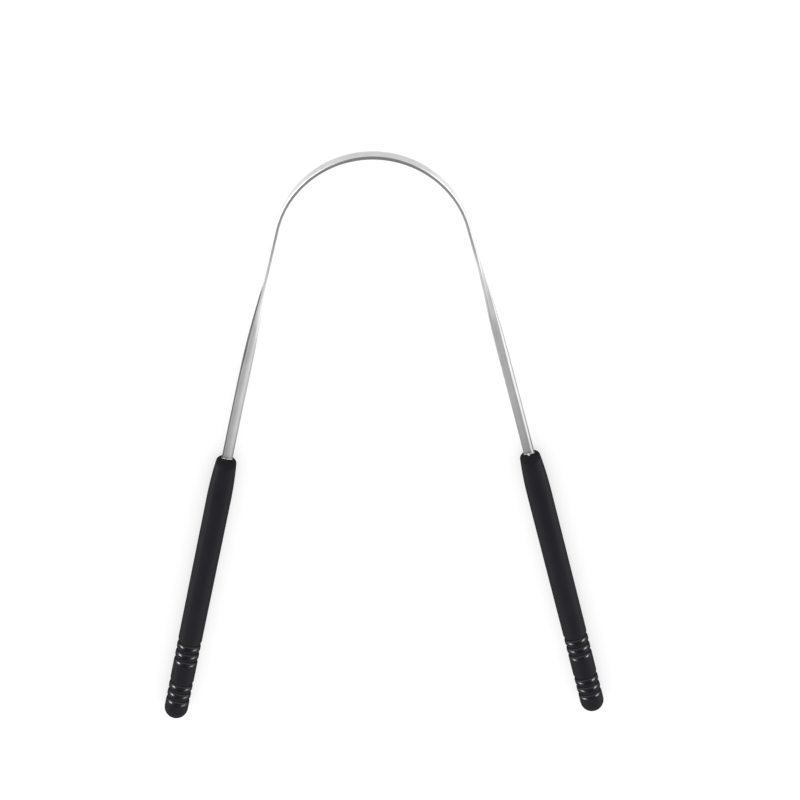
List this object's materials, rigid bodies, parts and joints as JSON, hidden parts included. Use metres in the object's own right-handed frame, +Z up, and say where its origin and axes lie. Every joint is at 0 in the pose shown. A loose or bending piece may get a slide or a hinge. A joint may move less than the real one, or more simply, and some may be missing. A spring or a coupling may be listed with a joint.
{
  "type": "tongue scraper",
  "caption": "U-shaped tongue scraper: a bent flat steel strip that stands on edge at the arch, twists flat down both arms and ends in round black ring-grooved handles.",
  "frame": {"origin": "on the surface that the handles lie on, under the middle of the outline", "axes": "+X across the part to the right arm, +Y along the part towards the crown of the arch, +Z up, square to the plane of the U"},
  "size_m": [0.1118, 0.1686, 0.006],
  "materials": {
    "steel": "satin stainless strip, fine grain along its length, polished rounded edges",
    "grip": "satin black moulded plastic, glossier in the turned grooves",
    "cement": "cured clear cement, smooth and slightly milky"
  },
  "bodies": {
    "root": {"scraper_strip": "steel", "left_handle": "grip", "right_handle": "grip", "left_bond": "cement", "right_bond": "cement"}
  },
  "joints": []
}
